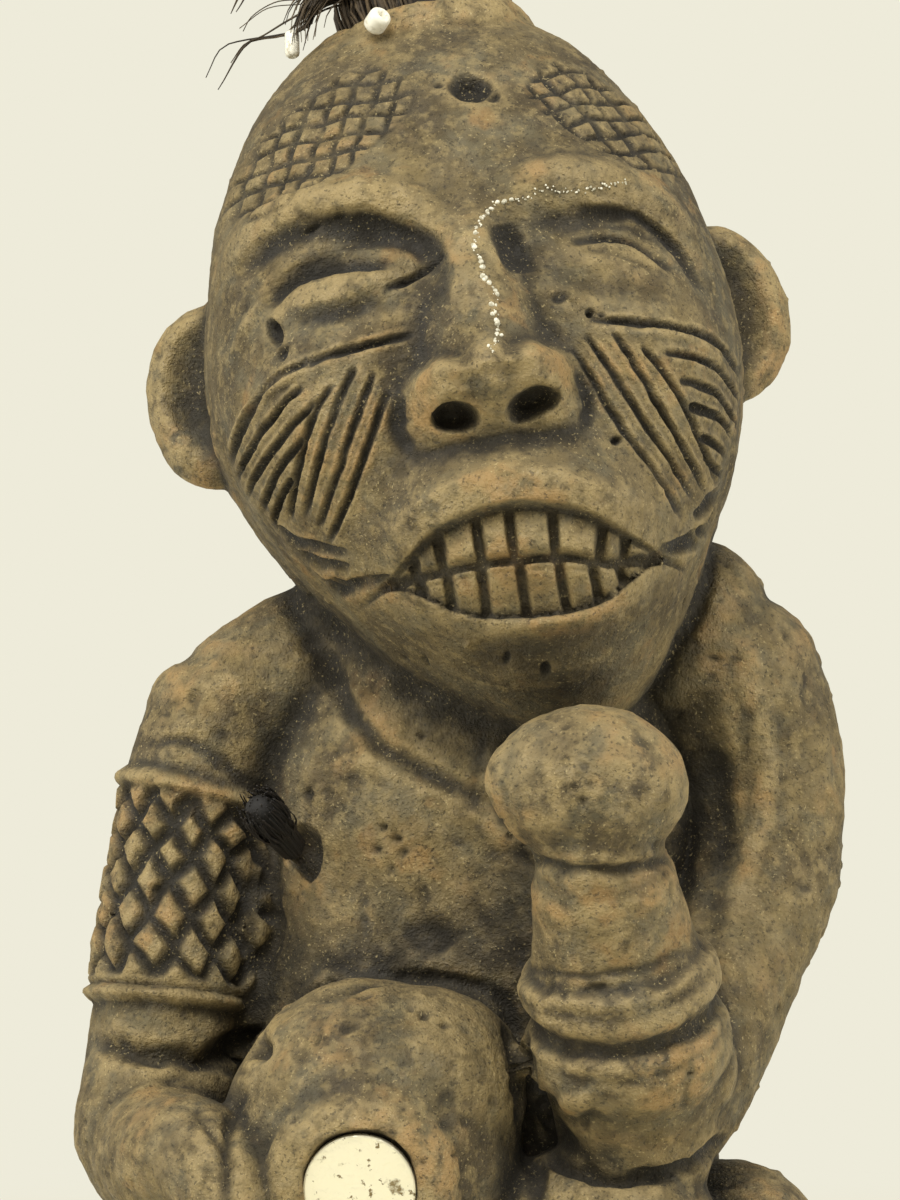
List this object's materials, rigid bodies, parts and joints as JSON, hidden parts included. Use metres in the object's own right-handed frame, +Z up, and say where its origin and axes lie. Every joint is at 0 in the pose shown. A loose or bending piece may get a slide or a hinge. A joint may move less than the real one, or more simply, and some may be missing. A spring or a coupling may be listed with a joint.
{
  "type": "power figure",
  "caption": "Seated fired-clay power figure, chin on one fist, scarred face with bared teeth, charge packed in the crown, packet with a mirror on the belly, on a low oval base.",
  "frame": {"origin": "centre of the base's underside, which is also the bottom centre of the bounding box", "axes": "+Z up, -Y where the face looks, +X to the viewer's right"},
  "size_m": [0.135, 0.116, 0.2857],
  "materials": {
    "clay": "matt unglazed fired clay, sandy, sooted and worn",
    "fibre": "matted plant fibre and hair",
    "bead": "white, slightly dulled",
    "bristle": "dark stiff bristles",
    "looking_glass": "old looking glass, tarnished"
  },
  "bodies": {
    "root": {"figure": "clay", "crown_charge": "fibre", "bead_1": "bead", "bead_2": "bead", "chest_plug": "bristle", "belly_mirror": "looking_glass"}
  },
  "joints": []
}
